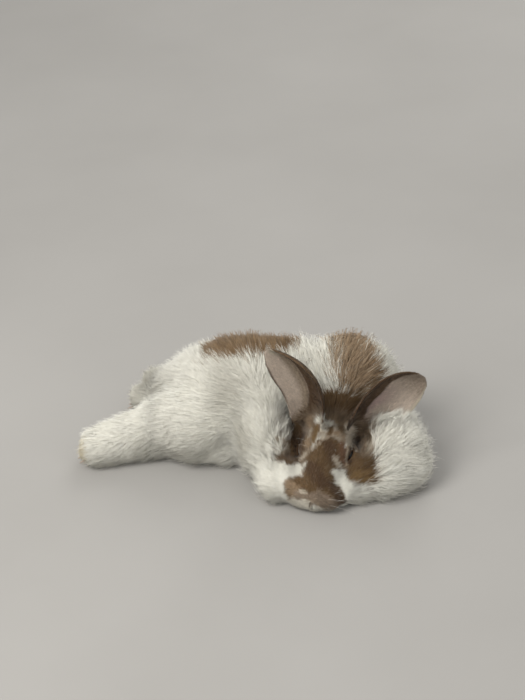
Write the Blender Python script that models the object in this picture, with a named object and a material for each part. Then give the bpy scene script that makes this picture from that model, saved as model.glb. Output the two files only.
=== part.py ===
"""A long-haired pet rabbit resting on the floor, life size, as a still museum-style model.

The rabbit lies with its chest down and its hips rolled on to the left side.  Its head rests on
its chin and faces -Y, its ears stand up and out, and both hind feet stick out beyond the rump.
Solids reach to the tips of the coat.  They are modelled as soft masses that melt into one body,
which thin cuts then part into head, neck, chest, trunk, rump, legs and tail.

Metres, +Z up.  While modelling, the chin touches the floor at the origin, the head's left side
is at +X and the rump at -X.  At the end everything is moved so that the origin is the middle of
the footprint, on the floor.
"""

import math

import bmesh
import bpy
from mathutils import Euler, Matrix, Vector

# ---------------------------------------------------------------- driving dimensions
HEAD_CENTRE = Vector((0.0084, 0.0462, 0.0372))  # midway between the eyes
HEAD_YAW = math.radians(19.5)  # nose turned to the rabbit's right
HEAD_PITCH = math.radians(4.0)  # nose down
HEAD_ROLL = math.radians(4.5)  # left side up
EYE_RADIUS = 0.0086
EYE = Vector((0.0216, -0.0052, -0.0064))  # the right eyeball's centre in the head's frame
GAZE = Vector((0.60, 0.50, 0.62))  # out of the right eye, in the head's frame
LID_LINE = Vector((-0.32, 1.0, -0.50))  # from the back corner of the right eye to the front
LID_SLIT = Vector((0.0050, 0.0086, 0.0018))  # half depth, half length and half width
EAR_WIDTH = 0.064  # of the leaf laid flat
EAR_THICK = 0.0026
CLAW_LENGTH = 0.0130
CLAW_RADIUS = 0.0012
GAP = 0.0004  # between neighbouring solids
EYE_GAP = 0.0006  # round an eyeball, whose facets are coarse
BACK_TURN = math.radians(-28)  # the line of the back seen from above
HIPS = -0.163  # where the rump ends, along that line
SHOULDERS = -0.055  # where the trunk ends
SLAB_SIDE = 0.08
CLAW_DROP = 0.22  # how far a claw's tip curves down, as a share of its length
FACE_LOW = Vector((-0.034, -0.045, -0.045))  # corners of the face, in the head's frame, which
FACE_HIGH = Vector((0.034, 0.070, 0.060))  # keeps more of its triangles than the body does
FACE_WEIGHT = 0.35
THINNING = 3e-7  # how strongly those weights steer the thinning
VOXEL = 0.0022
BODY_TRIANGLES = 3500
SMOOTH_PASSES = 12

COLOURS = {
    "white_fur": ((0.80, 0.78, 0.73, 1), 0.9),
    "brown_fur": ((0.33, 0.18, 0.09, 1), 0.9),
    "eye": ((0.02, 0.012, 0.01, 1), 0.1),
    "claw": ((0.45, 0.38, 0.32, 1), 0.5),
}


# ---------------------------------------------------------------- helpers
def clear_scene():
    for obj in list(bpy.data.objects):
        bpy.data.objects.remove(obj, do_unlink=True)


def material(name):
    found = bpy.data.materials.get(name)
    if found:
        return found
    colour, roughness = COLOURS[name]
    made = bpy.data.materials.new(name)
    made.use_nodes = True
    shader = made.node_tree.nodes["Principled BSDF"]
    shader.inputs["Base Color"].default_value = colour
    shader.inputs["Roughness"].default_value = roughness
    shader.inputs["Metallic"].default_value = 0.0
    return made


def add_object(name, mesh):
    obj = bpy.data.objects.new(name, mesh)
    bpy.context.scene.collection.objects.link(obj)
    return obj


def mesh_of(bm, name):
    bm.normal_update()
    bmesh.ops.recalc_face_normals(bm, faces=bm.faces)
    mesh = bpy.data.meshes.new(name)
    bm.to_mesh(mesh)
    bm.free()
    return mesh


def evaluated_mesh(obj):
    """The object's mesh with its modifiers applied."""
    graph = bpy.context.evaluated_depsgraph_get()
    return bpy.data.meshes.new_from_object(obj.evaluated_get(graph))


def apply_modifiers(obj):
    bpy.context.view_layer.update()
    made = evaluated_mesh(obj)
    old = obj.data
    obj.modifiers.clear()
    obj.data = made
    bpy.data.meshes.remove(old)
    return obj


def boolean(obj, cutter, operation):
    modifier = obj.modifiers.new("cut", "BOOLEAN")
    modifier.operation = operation
    modifier.solver = "EXACT"
    modifier.object = cutter
    return apply_modifiers(obj)


def copy_of(obj, name):
    return add_object(name, obj.data.copy())


def remove(*objs):
    for obj in objs:
        bpy.data.objects.remove(obj, do_unlink=True)


def spline(points, steps):
    """Points along a Catmull-Rom curve through tuples of any length, ends included."""
    padded = [points[0], *points, points[-1]]
    out = []
    for a, b, c, d in zip(padded, padded[1:], padded[2:], padded[3:]):
        for k in range(steps):
            t = k / steps
            out.append(
                tuple(
                    0.5
                    * (
                        2 * q
                        + (r - p) * t
                        + (2 * p - 5 * q + 4 * r - s) * t**2
                        + (3 * q - p - 3 * r + s) * t**3
                    )
                    for p, q, r, s in zip(a, b, c, d)
                )
            )
    out.append(tuple(points[-1]))
    return out


# ---------------------------------------------------------------- soft masses
def ball(centre, radii, turn=(0, 0, 0), frame=None):
    """An ellipsoid as a bmesh, turned by Euler angles in degrees, in the world or in frame."""
    bm = bmesh.new()
    bmesh.ops.create_icosphere(bm, subdivisions=4, radius=1.0)
    angles = Euler([math.radians(a) for a in turn])
    place = Matrix.LocRotScale(Vector(centre), angles, Vector(radii))
    bm.transform((frame or Matrix.Identity(4)) @ place)
    return bm


def limb(stations, frame=None, sides=28, steps=6):
    """A closed loft.  Each station is (x, y, z, half width, half height)."""
    rings = spline(stations, steps)
    bm = bmesh.new()
    loops = []
    for i, ring in enumerate(rings):
        here = Vector(ring[:3])
        ahead = Vector(rings[min(i + 1, len(rings) - 1)][:3])
        behind = Vector(rings[max(i - 1, 0)][:3])
        along = (ahead - behind).normalized()
        side = along.cross(Vector((0, 0, 1))).normalized()
        up = side.cross(along)
        loop = []
        for k in range(sides):
            a = 2 * math.pi * k / sides
            offset = side * (math.cos(a) * ring[3]) + up * (math.sin(a) * ring[4])
            loop.append(bm.verts.new(here + offset))
        loops.append(loop)
    for one, two in zip(loops, loops[1:]):
        for k in range(sides):
            n = (k + 1) % sides
            bm.faces.new((one[k], one[n], two[n], two[k]))
    bm.faces.new(loops[0])
    bm.faces.new(loops[-1])
    bm.transform(frame or Matrix.Identity(4))
    return bm


def head_frame():
    """Local x to the rabbit's right, y forward to the nose, z up, from between the eyes."""
    forward = Vector(
        (
            -math.sin(HEAD_YAW) * math.cos(HEAD_PITCH),
            -math.cos(HEAD_YAW) * math.cos(HEAD_PITCH),
            -math.sin(HEAD_PITCH),
        )
    )
    level = Vector((-math.cos(HEAD_YAW), math.sin(HEAD_YAW), 0))
    up = level.cross(forward)
    right = level * math.cos(HEAD_ROLL) - up * math.sin(HEAD_ROLL)
    top = up * math.cos(HEAD_ROLL) + level * math.sin(HEAD_ROLL)
    turned = Matrix((right, forward, top)).transposed().to_4x4()
    return Matrix.Translation(HEAD_CENTRE) @ turned


HEAD = head_frame()


def head_masses():
    """Skull, muzzle, cheeks and brows, in the head's own frame."""
    skull = limb(
        [
            (0, 0.0560, -0.0170, 0.0060, 0.0060),
            (0, 0.0520, -0.0180, 0.0150, 0.0125),
            (0, 0.0400, -0.0180, 0.0195, 0.0175),
            (0, 0.0240, -0.0155, 0.0220, 0.0220),
            (0, 0.0080, -0.0120, 0.0245, 0.0275),
            (0, -0.0120, -0.0090, 0.0270, 0.0310),
            (0, -0.0320, -0.0080, 0.0280, 0.0290),
            (0, -0.0500, -0.0080, 0.0240, 0.0230),
            (0, -0.0620, -0.0080, 0.0120, 0.0120),
        ],
        frame=HEAD,
    )
    # chin, and the tuft of longer hair between the ears
    chin = ball((0, 0.0340, -0.0300), (0.0180, 0.0170, 0.0110), frame=HEAD)
    forelock = ball((0, -0.0420, 0.0190), (0.0200, 0.0160, 0.0130), frame=HEAD)
    masses = [skull, chin, forelock]
    for side in (-1, 1):
        whisker_pad = ball(
            (side * 0.0130, 0.0420, -0.0215), (0.0140, 0.0135, 0.0130), frame=HEAD
        )
        cheek = ball(
            (side * 0.0200, 0.0200, -0.0250), (0.0165, 0.0230, 0.0160), frame=HEAD
        )
        jaw = ball((side * 0.0240, -0.0060, -0.0215), (0.0175, 0.0300, 0.0200), frame=HEAD)
        lids = ball((side * EYE.x, EYE.y, EYE.z), (0.0122, 0.0140, 0.0122), frame=HEAD)
        eye_bag = ball((side * 0.0300, 0.0010, -0.0110), (0.0110, 0.0180, 0.0105), frame=HEAD)
        ear_root = ball(
            (side * 0.0230, -0.0360, 0.0060), (0.0135, 0.0150, 0.0130), frame=HEAD
        )
        masses += [whisker_pad, cheek, jaw, lids, eye_bag, ear_root]
    return masses


def trunk_masses():
    """Spine loft from the rump to the shoulders, with the mane and the nape."""
    spine = limb(
        [
            (-0.158, 0.182, 0.028, 0.012, 0.014),
            (-0.148, 0.176, 0.030, 0.030, 0.032),
            (-0.120, 0.160, 0.036, 0.050, 0.054),
            (-0.075, 0.134, 0.046, 0.060, 0.072),
            (-0.030, 0.124, 0.048, 0.050, 0.075),
            (0.010, 0.120, 0.047, 0.036, 0.072),
            (0.050, 0.108, 0.044, 0.032, 0.064),
            (0.082, 0.095, 0.040, 0.026, 0.044),
            (0.094, 0.090, 0.040, 0.010, 0.020),
        ]
    )
    mane = ball((0.040, 0.114, 0.075), (0.055, 0.036, 0.054), turn=(-8, 0, -20))
    nape = ball((0.024, 0.088, 0.028), (0.044, 0.034, 0.038))
    belly = ball((-0.080, 0.104, 0.018), (0.062, 0.030, 0.026), turn=(0, 0, -12))
    return [spine, mane, nape, belly]


def ruff_masses():
    """The long fur on both sides of the head, over the shoulders and the folded forelegs."""
    right_side = [
        ball((-0.050, 0.076, 0.038), (0.030, 0.041, 0.045), turn=(0, 0, -10)),
        ball((-0.037, 0.031, 0.018), (0.027, 0.028, 0.022)),
    ]
    left_side = [
        ball((0.076, 0.078, 0.032), (0.034, 0.032, 0.038), turn=(0, 0, -20)),
        ball((0.080, 0.048, 0.031), (0.035, 0.034, 0.038), turn=(0, 0, -20)),
        ball((0.088, 0.040, 0.022), (0.030, 0.029, 0.026)),
        ball((0.062, 0.027, 0.020), (0.034, 0.028, 0.024)),
        ball((0.034, 0.015, 0.014), (0.024, 0.020, 0.016)),
    ]
    return right_side + left_side


def hind_masses():
    """Right thigh, both hind feet and the tail."""
    near_foot = limb(
        [
            (-0.2400, 0.1060, 0.0190, 0.0060, 0.0080),
            (-0.2350, 0.1060, 0.0190, 0.0170, 0.0175),
            (-0.2180, 0.1080, 0.0195, 0.0240, 0.0215),
            (-0.1950, 0.1130, 0.0215, 0.0250, 0.0245),
            (-0.1720, 0.1170, 0.0250, 0.0270, 0.0290),
            (-0.1500, 0.1200, 0.0300, 0.0300, 0.0340),
            (-0.1250, 0.1240, 0.0330, 0.0280, 0.0300),
        ]
    )
    far_foot = limb(
        [
            (-0.1890, 0.2000, 0.0140, 0.0060, 0.0070),
            (-0.1840, 0.1980, 0.0150, 0.0150, 0.0150),
            (-0.1700, 0.1920, 0.0165, 0.0190, 0.0175),
            (-0.1500, 0.1830, 0.0180, 0.0190, 0.0180),
            (-0.1300, 0.1730, 0.0200, 0.0180, 0.0180),
        ]
    )
    thigh = ball((-0.122, 0.108, 0.040), (0.046, 0.036, 0.044), turn=(0, 0, -22))
    tail = ball((-0.150, 0.187, 0.038), (0.030, 0.018, 0.019), turn=(0, 8, -24))
    return [near_foot, far_foot, thigh, tail]


def melted_body():
    """All masses as one smooth closed body, cut off level at the floor."""
    joined = bmesh.new()
    for bm in head_masses() + trunk_masses() + ruff_masses() + hind_masses():
        piece = mesh_of(bm, "mass")
        joined.from_mesh(piece)
        bpy.data.meshes.remove(piece)
    mesh = bpy.data.meshes.new("body")
    joined.to_mesh(mesh)
    joined.free()
    body = add_object("body", mesh)
    remesh = body.modifiers.new("melt", "REMESH")
    remesh.mode = "VOXEL"
    remesh.voxel_size = VOXEL
    smooth = body.modifiers.new("smooth", "SMOOTH")
    smooth.factor = 0.5
    smooth.iterations = SMOOTH_PASSES
    apply_modifiers(body)
    thin_out(body)
    floor = block((0, 0.1, -0.05), (0.5, 0.5, 0.05))
    boolean(body, floor, "DIFFERENCE")
    remove(floor)
    return body


def thin_out(body):
    """Fewer triangles, with more of them kept on the face."""
    weights = body.vertex_groups.new(name="plain")
    inverse = HEAD.inverted()
    for vertex in body.data.vertices:
        local = inverse @ vertex.co
        near = all(FACE_LOW[k] < local[k] < FACE_HIGH[k] for k in range(3))
        weights.add([vertex.index], FACE_WEIGHT if near else 1.0, "REPLACE")
    body.data.calc_loop_triangles()
    thin = body.modifiers.new("thin", "DECIMATE")
    thin.ratio = BODY_TRIANGLES / len(body.data.loop_triangles)
    thin.vertex_group = "plain"
    thin.vertex_group_factor = THINNING
    thin.use_collapse_triangulate = True
    apply_modifiers(body)
    body.vertex_groups.clear()


# ---------------------------------------------------------------- parting the body
def block(centre, halves, frame=None, turn=0.0):
    bm = bmesh.new()
    bmesh.ops.create_cube(bm, size=2.0)
    place = Matrix.LocRotScale(
        Vector(centre), Euler((0, 0, math.radians(turn))), Vector(halves)
    )
    bm.transform((frame or Matrix.Identity(4)) @ place)
    return add_object("cutter", mesh_of(bm, "cutter"))


def pod(centre, halves, frame=None, turn=(0, 0, 0)):
    """An ellipsoid cutter with few faces."""
    bm = bmesh.new()
    bmesh.ops.create_icosphere(bm, subdivisions=2, radius=1.0)
    angles = Euler([math.radians(a) for a in turn])
    place = Matrix.LocRotScale(Vector(centre), angles, Vector(halves))
    bm.transform((frame or Matrix.Identity(4)) @ place)
    return add_object("cutter", mesh_of(bm, "cutter"))


def slab(start, end):
    """A cutter across the spine, between two distances along the line of the back."""
    along = Vector((math.cos(BACK_TURN), math.sin(BACK_TURN), 0))
    across = Vector((-along.y, along.x, 0))
    middle = along * ((start + end) / 2) + across * SLAB_SIDE
    halves = ((end - start) / 2, 0.2, 0.2)
    return block(middle, halves, turn=math.degrees(BACK_TURN))


def part_off(body, name, cutter):
    """Cuts the share of body inside a cutter off as its own solid, with a thin gap.

    cutter is called with a margin and makes the cutting solid that much larger.
    """
    node = copy_of(body, name)
    inside = cutter(0.0)
    boolean(node, inside, "INTERSECT")
    outside = cutter(GAP)
    boolean(body, outside, "DIFFERENCE")
    remove(inside, outside)
    return node


def grown(kind, centre, halves, **where):
    """A cutter of the given kind that takes a margin."""
    return lambda margin: kind(centre, [h + margin for h in halves], **where)


def body_nodes(body):
    """The melted body parted into its cells, each in turn; the chest is what is left."""
    far_turn = {"turn": -24}
    cells = {
        "head": grown(pod, (0, 0.010, -0.004), (0.044, 0.070, 0.050), frame=HEAD),
        "foot_hind_right": grown(block, (-0.255, 0.095, 0.02), (0.090, 0.052, 0.080)),
        "foot_hind_left": grown(block, (-0.215, 0.222, 0.00), (0.052, 0.040, 0.029), **far_turn),
        "tail": grown(block, (-0.210, 0.220, 0.06), (0.060, 0.050, 0.0306), **far_turn),
        "thigh_right": grown(pod, (-0.136, 0.098, 0.030), (0.054, 0.042, 0.062), turn=(0, 0, -20)),
        "thigh_left": grown(pod, (-0.118, 0.186, 0.000), (0.052, 0.034, 0.034), turn=(0, 0, -24)),
        "foreleg_right": grown(pod, (-0.044, 0.028, 0.000), (0.040, 0.044, 0.040)),
        "foreleg_left": grown(pod, (0.073, 0.016, 0.000), (0.066, 0.048, 0.042)),
        "neck": grown(pod, (0.036, 0.098, 0.090), (0.064, 0.046, 0.066), turn=(0, 0, -20)),
        "rump": lambda margin: slab(-0.5, HIPS + margin),
        "trunk": lambda margin: slab(-0.5, SHOULDERS + margin),
    }
    nodes = [part_off(body, name, cutter) for name, cutter in cells.items()]
    body.name = "chest"
    nodes.append(body)
    return nodes


# ---------------------------------------------------------------- eyes
def eye_frame(side):
    """Frame of an eye: x out along the gaze, y along the slit between the lids."""
    mirror = Vector((side, 1, 1))
    gaze = (HEAD.to_3x3() @ (GAZE * mirror)).normalized()
    line = HEAD.to_3x3() @ (LID_LINE * mirror)
    line = (line - gaze * line.dot(gaze)).normalized()
    turned = Matrix((gaze, line, gaze.cross(line))).transposed().to_4x4()
    return Matrix.Translation(HEAD @ (EYE * mirror)) @ turned


def eyeball(name, radius, frame):
    bm = bmesh.new()
    bmesh.ops.create_uvsphere(bm, u_segments=12, v_segments=8, radius=radius)
    bm.transform(frame)
    return add_object(name, mesh_of(bm, name))


def make_eye(name, side, head):
    """An eyeball in its own socket, seen only through the slit between the lids."""
    frame = eye_frame(side)
    eye = eyeball(name, EYE_RADIUS, frame)
    socket = eyeball("socket", EYE_RADIUS + EYE_GAP, frame)
    slit = pod((EYE_RADIUS + LID_SLIT.x / 2, 0, 0), LID_SLIT, frame=frame)
    boolean(socket, slit, "UNION")
    boolean(head, socket, "DIFFERENCE")
    remove(socket, slit)
    return eye


# ---------------------------------------------------------------- ears
def ear_width(t, stalk):
    """Share of the full width at t from root to tip: a stalk, a broad blade, a blunt tip."""
    widest = 0.50
    if t < widest:
        return stalk + (1 - stalk) * math.sin(math.pi / 2 * t / widest)
    past = (t - widest) / (1 - widest)
    return max(0.16, (1 - past**2.4) ** 0.6)


def ear_sheet(root, tip, facing, bow, cups, stalk, rows=13, columns=8):
    """The ear's middle surface: a leaf from root to tip, cupped towards facing.

    facing and cups each give the value at the root and at the tip; bow is how far the
    middle of the centre line stands off the straight line, as a vector; stalk is the
    root's share of the full width.
    """
    bm = bmesh.new()
    grid = []
    for i in range(rows + 1):
        t = i / rows
        middle = root.lerp(tip, t) + bow * math.sin(math.pi * t)
        along = (tip - root + bow * math.pi * math.cos(math.pi * t)).normalized()
        towards = facing[0].lerp(facing[1], t)
        across = along.cross(towards).normalized()
        out = across.cross(along).normalized()
        if out.dot(towards) < 0:
            out.negate()
        cup = math.radians(cups[0] + (cups[1] - cups[0]) * t**0.7)
        radius = EAR_WIDTH / 2 * ear_width(t, stalk) / cup
        row = []
        for j in range(columns + 1):
            angle = cup * (2 * j / columns - 1)
            offset = across * (radius * math.sin(angle)) + out * radius * (1 - math.cos(angle))
            row.append(bm.verts.new(middle + offset))
        grid.append(row)
    for one, two in zip(grid, grid[1:]):
        for j in range(columns):
            bm.faces.new((one[j], one[j + 1], two[j + 1], two[j]))
    return bm


def make_ear(name, fur, root, tip, facing, bow, cups, stalk):
    """One ear, its root trimmed where it meets the fur of the head, neck and shoulders."""
    bm = ear_sheet(HEAD @ Vector(root), Vector(tip), facing, Vector(bow), cups, stalk)
    ear = add_object(name, mesh_of(bm, name))
    thick = ear.modifiers.new("thickness", "SOLIDIFY")
    thick.thickness = EAR_THICK
    thick.offset = 0.0
    apply_modifiers(ear)
    boolean(ear, fur, "DIFFERENCE")
    return ear


def make_ears(body):
    """Both ears stand up and out from the crown; they don't hang."""
    fur = copy_of(body, "fur")
    swell = fur.modifiers.new("grow", "DISPLACE")
    swell.strength = GAP
    swell.mid_level = 0.0
    apply_modifiers(fur)
    right = make_ear(
        "ear_right",
        fur,
        root=(0.0145, -0.025, 0.018),
        tip=(-0.042, 0.065, 0.150),
        facing=(Vector((-0.60, -0.78, -0.10)), Vector((-0.52, -0.84, -0.20))),
        bow=(0.015, -0.001, 0.010),
        cups=(95, 50),
        stalk=0.78,
    )
    left = make_ear(
        "ear_left",
        fur,
        root=(-0.025, -0.028, 0.014),
        tip=(0.111, 0.058, 0.106),
        facing=(Vector((0.30, -0.85, 0.10)), Vector((0.15, -0.95, -0.10))),
        bow=(-0.003, 0.001, 0.013),
        cups=(100, 35),
        stalk=0.72,
    )
    remove(fur)
    return [right, left]


# ---------------------------------------------------------------- claws
def claw_solid(name, root, direction, radius, length):
    """A claw: a six-sided cone that curves down to its tip."""
    along = direction.normalized()
    side = along.cross(Vector((0, 0, 1))).normalized()
    up = side.cross(along)
    bm = bmesh.new()
    rings = []
    for share, width in ((0.0, 1.0), (0.45, 0.85), (0.8, 0.5)):
        middle = root + along * (length * share) - up * (length * CLAW_DROP * share**2)
        ring = []
        for k in range(6):
            a = math.pi / 3 * k
            ring.append(
                bm.verts.new(middle + (side * math.cos(a) + up * math.sin(a)) * radius * width)
            )
        rings.append(ring)
    tip = bm.verts.new(root + along * length - up * (length * CLAW_DROP))
    bm.faces.new(rings[0])
    for one, two in zip(rings, rings[1:]):
        for k in range(6):
            n = (k + 1) % 6
            bm.faces.new((one[k], one[n], two[n], two[k]))
    for k in range(6):
        bm.faces.new((rings[-1][k], rings[-1][(k + 1) % 6], tip))
    return add_object(name, mesh_of(bm, name))


def make_claws(foot, where, spread, direction):
    """Four claws in a row across the toes, each in a pocket of the foot's fur."""
    claws = []
    for k in range(4):
        across = k - 1.5
        root = Vector(where) + Vector(spread) * across
        root -= Vector(direction).normalized() * (0.0010 * across**2)
        name = f"claw_{foot.name.removeprefix('foot_')}_{k + 1}"
        claw = claw_solid(name, root, Vector(direction), CLAW_RADIUS, CLAW_LENGTH)
        back = Vector(direction).normalized() * GAP
        pocket = claw_solid(
            "pocket", root - back, Vector(direction), CLAW_RADIUS + GAP, CLAW_LENGTH + 3 * GAP
        )
        boolean(foot, pocket, "DIFFERENCE")
        remove(pocket)
        claws.append(claw)
    return claws


# ---------------------------------------------------------------- build
def finish(nodes):
    """Materials, smooth shading, and the move to the middle of the footprint."""
    for obj in nodes:
        if obj.name.startswith("ear"):
            look = "brown_fur"
        elif obj.name.startswith("eye"):
            look = "eye"
        elif obj.name.startswith("claw"):
            look = "claw"
        else:
            look = "white_fur"
        obj.data.materials.clear()
        obj.data.materials.append(material(look))
        obj.data.shade_smooth()
        obj.data.set_sharp_from_angle(angle=math.radians(50))
    corners = [v.co for obj in nodes for v in obj.data.vertices]
    low = Vector([min(c[k] for c in corners) for k in range(3)])
    high = Vector([max(c[k] for c in corners) for k in range(3)])
    middle = (low + high) / 2
    shift = Vector((-middle.x, -middle.y, -low.z))
    for obj in nodes:
        obj.data.transform(Matrix.Translation(shift))
    print("moved by", tuple(round(c, 5) for c in shift))


def main():
    clear_scene()
    body = melted_body()
    ears = make_ears(body)
    nodes = body_nodes(body) + ears
    named = {node.name: node for node in nodes}
    nodes.append(make_eye("eye_right", 1, named["head"]))
    nodes.append(make_eye("eye_left", -1, named["head"]))
    nodes += make_claws(
        named["foot_hind_right"], (-0.2285, 0.1060, 0.0130), (0, 0.0085, 0), (-1, 0, -0.15)
    )
    nodes += make_claws(
        named["foot_hind_left"], (-0.1790, 0.1965, 0.0100), (0.003, 0.0065, 0), (-1, 0.4, -0.15)
    )
    finish(nodes)


main()
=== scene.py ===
"""Looks of the resting long-haired rabbit: one skin, a coat of mesh tufts, eyes and whiskers.

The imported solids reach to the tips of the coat.  The skin is made from them, melted into one
surface and pushed inwards by the coat's depth.  Tufts are then rooted all over it, lie along it
away from the nose, and end near the surface of the solids.  Metres, +Z up.
"""
import heapq
import math
import bmesh
import bpy
import numpy as np
from mathutils import Matrix, Vector, noise
from mathutils.bvhtree import BVHTree
from mathutils.kdtree import KDTree


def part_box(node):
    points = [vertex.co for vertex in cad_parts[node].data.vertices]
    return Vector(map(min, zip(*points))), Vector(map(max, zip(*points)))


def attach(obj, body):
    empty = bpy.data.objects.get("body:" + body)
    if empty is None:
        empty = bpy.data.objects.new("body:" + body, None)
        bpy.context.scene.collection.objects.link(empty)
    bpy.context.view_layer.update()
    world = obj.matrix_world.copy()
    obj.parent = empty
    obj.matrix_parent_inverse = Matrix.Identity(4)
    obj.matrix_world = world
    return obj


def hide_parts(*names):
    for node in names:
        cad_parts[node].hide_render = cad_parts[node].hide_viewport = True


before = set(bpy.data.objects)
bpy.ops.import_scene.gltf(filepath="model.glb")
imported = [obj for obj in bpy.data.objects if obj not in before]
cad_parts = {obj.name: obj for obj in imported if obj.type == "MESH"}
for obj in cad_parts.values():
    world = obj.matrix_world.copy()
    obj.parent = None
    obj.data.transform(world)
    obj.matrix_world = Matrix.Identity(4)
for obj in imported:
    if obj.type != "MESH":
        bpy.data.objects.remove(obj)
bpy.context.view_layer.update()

# ---- the head's place
HEAD_YAW = math.radians(19.5)  # as the solids have it
HEAD_PITCH = math.radians(4.0)
EYE_RADIUS = 0.0086
EYES_FROM_FACE = Vector((0.0, -0.0052, -0.0064))  # the eyes' midpoint in the face frame
GAZE = Vector((0.60, 0.50, 0.62))
LID_LINE = Vector((-0.32, 1.0, -0.50))
EYES = {1: "eye_right", -1: "eye_left"}  # by side, as the face frame's x

# ---- the skin
SKIN_NODES = [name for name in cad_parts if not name.startswith(("eye", "claw"))]
KINDS = np.array([name.split("_")[0] for name in SKIN_NODES])
SEAM = 0.00025  # the solids grow by this, which closes the cuts between them
SOCKET = 0.0105  # radius of the ball that fills each eye socket while the skin melts
VOXEL = 0.0011
SKIN_TRIANGLES = 170000
PUSHES = 6  # steps in which the skin moves in
PUSH_BLEND = 0.6  # how much each step smooths the skin under deep coat
DEEP_COAT = (0.0010, 0.0050)  # the coat grows deep over this
FAIRING = 12  # smoothing passes that keep the volume: in by one share, out by the other
FAIR_IN, FAIR_OUT = 0.50, 0.52
SPIKE_FAIRING = 30  # plain passes where the skin is creased sharply
SPIKE = (0.30, 0.70)  # a crease is sharp where it bends by this share of a voxel
EAR_FAIRING = 24  # plain smoothing passes on the ears alone
WALL_STEEP = 0.7  # walls are steeper than this, as the level part of their normals
WALL_HIGH = 0.007  # and the underside lies below this
WALL_REACH = 3.0  # coat depths over which the underside follows the walls' push
ROOT_FILLET = 44  # smoothing passes where the ears grow out of the head
# fat and fur that fill the pocket between the right ear, the neck and the eye, in the face
# frame in millimetres: centre and radius
FILLS = [
    ((37.0, -29, 6), 11.0),
    ((38.5, -20, 3), 10.5),
    ((38.5, -11, 0), 9.5),
    ((39.0, -3, -2), 8.5),
    ((17.0, -30, 16), 9.0),
    ((-17.0, -29, 11), 9.0),
]


def centre_of(node):
    low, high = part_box(node)
    return (low + high) / 2


def face_frame():
    """Local x to the rabbit's right, y forward to the nose, z up, as in the solids."""
    right_eye = centre_of("eye_right")
    left_eye = centre_of("eye_left")
    level = math.cos(HEAD_PITCH)
    forward = Vector((-math.sin(HEAD_YAW) * level, -math.cos(HEAD_YAW) * level, -math.sin(HEAD_PITCH)))
    right = (right_eye - left_eye).normalized()
    forward = (forward - right * forward.dot(right)).normalized()
    turned = Matrix((right, forward, right.cross(forward))).transposed()
    middle = (right_eye + left_eye) / 2 - turned @ EYES_FROM_FACE
    return Matrix.Translation(middle) @ turned.to_4x4()


def eye_frame(side):
    """Frame of an eye: x out along the gaze, y along the slit between the lids."""
    mirror = Vector((side, 1, 1))
    turned = FACE.to_3x3()
    gaze = (turned @ (GAZE * mirror)).normalized()
    line = turned @ (LID_LINE * mirror)
    line = (line - gaze * line.dot(gaze)).normalized()
    axes = Matrix((gaze, line, gaze.cross(line))).transposed().to_4x4()
    return Matrix.Translation(centre_of(EYES[side])) @ axes


FACE = face_frame()
FACE_IN = np.array(FACE.inverted())


def placed(points, matrix):
    """Points as an array, carried by a matrix."""
    turned = np.array(matrix)
    return points @ turned[:3, :3].T + turned[:3, 3]


def in_face(points):
    """World points in the face frame."""
    return placed(points, FACE_IN)


def ease(x, low, high):
    """A smooth step from 0 at low to 1 at high."""
    t = np.clip((x - low) / (high - low), 0, 1)
    return t * t * (3 - 2 * t)


def bump(far, width):
    """A smooth bump: 1 at no distance, falling off over the width."""
    return np.exp(-((far / width) ** 2))


def norm(rows):
    return np.linalg.norm(rows, axis=1)


def unit(v):
    return v / np.maximum(np.linalg.norm(v, axis=-1, keepdims=True), 1e-12)


def add_object(name, data):
    obj = bpy.data.objects.new(name, data)
    bpy.context.scene.collection.objects.link(obj)
    return obj


def made_mesh(bm, name):
    """The finished bmesh as a mesh."""
    mesh = bpy.data.meshes.new(name)
    bm.to_mesh(mesh)
    bm.free()
    return mesh


def apply_modifiers(obj):
    bpy.context.view_layer.update()
    graph = bpy.context.evaluated_depsgraph_get()
    made = bpy.data.meshes.new_from_object(obj.evaluated_get(graph))
    old = obj.data
    obj.modifiers.clear()
    obj.data = made
    bpy.data.meshes.remove(old)


def read_items(items, key, width, kind=np.float32):
    """One property of a mesh's items, with a row for each."""
    out = np.empty(len(items) * width, kind)
    items.foreach_get(key, out)
    return out.reshape(-1, width)


def coords(mesh):
    return read_items(mesh.vertices, "co", 3).astype(float)


def normals(mesh):
    return read_items(mesh.vertex_normals, "vector", 3).astype(float)


def set_coords(mesh, points):
    mesh.vertices.foreach_set("co", points.astype(np.float32).ravel())
    mesh.update()


def edge_pairs(mesh):
    return read_items(mesh.edges, "vertices", 2, np.int32)


class Smoother:
    """Averages values over a mesh's neighbouring vertices."""

    def __init__(self, mesh):
        self.pairs = edge_pairs(mesh)
        count = np.bincount(self.pairs.ravel(), minlength=len(mesh.vertices))
        self.count = np.maximum(count, 1)[:, None]

    def mean(self, values):
        a, b = self.pairs.T
        n = len(values)
        columns = values.reshape(n, -1).T
        sums = [np.bincount(a, col[b], n) + np.bincount(b, col[a], n) for col in columns]
        return (np.array(sums).T / self.count).reshape(values.shape)

    def smooth(self, values, passes, share=0.5):
        for _ in range(passes):
            values = values + share * (self.mean(values) - values)
        return values


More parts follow.
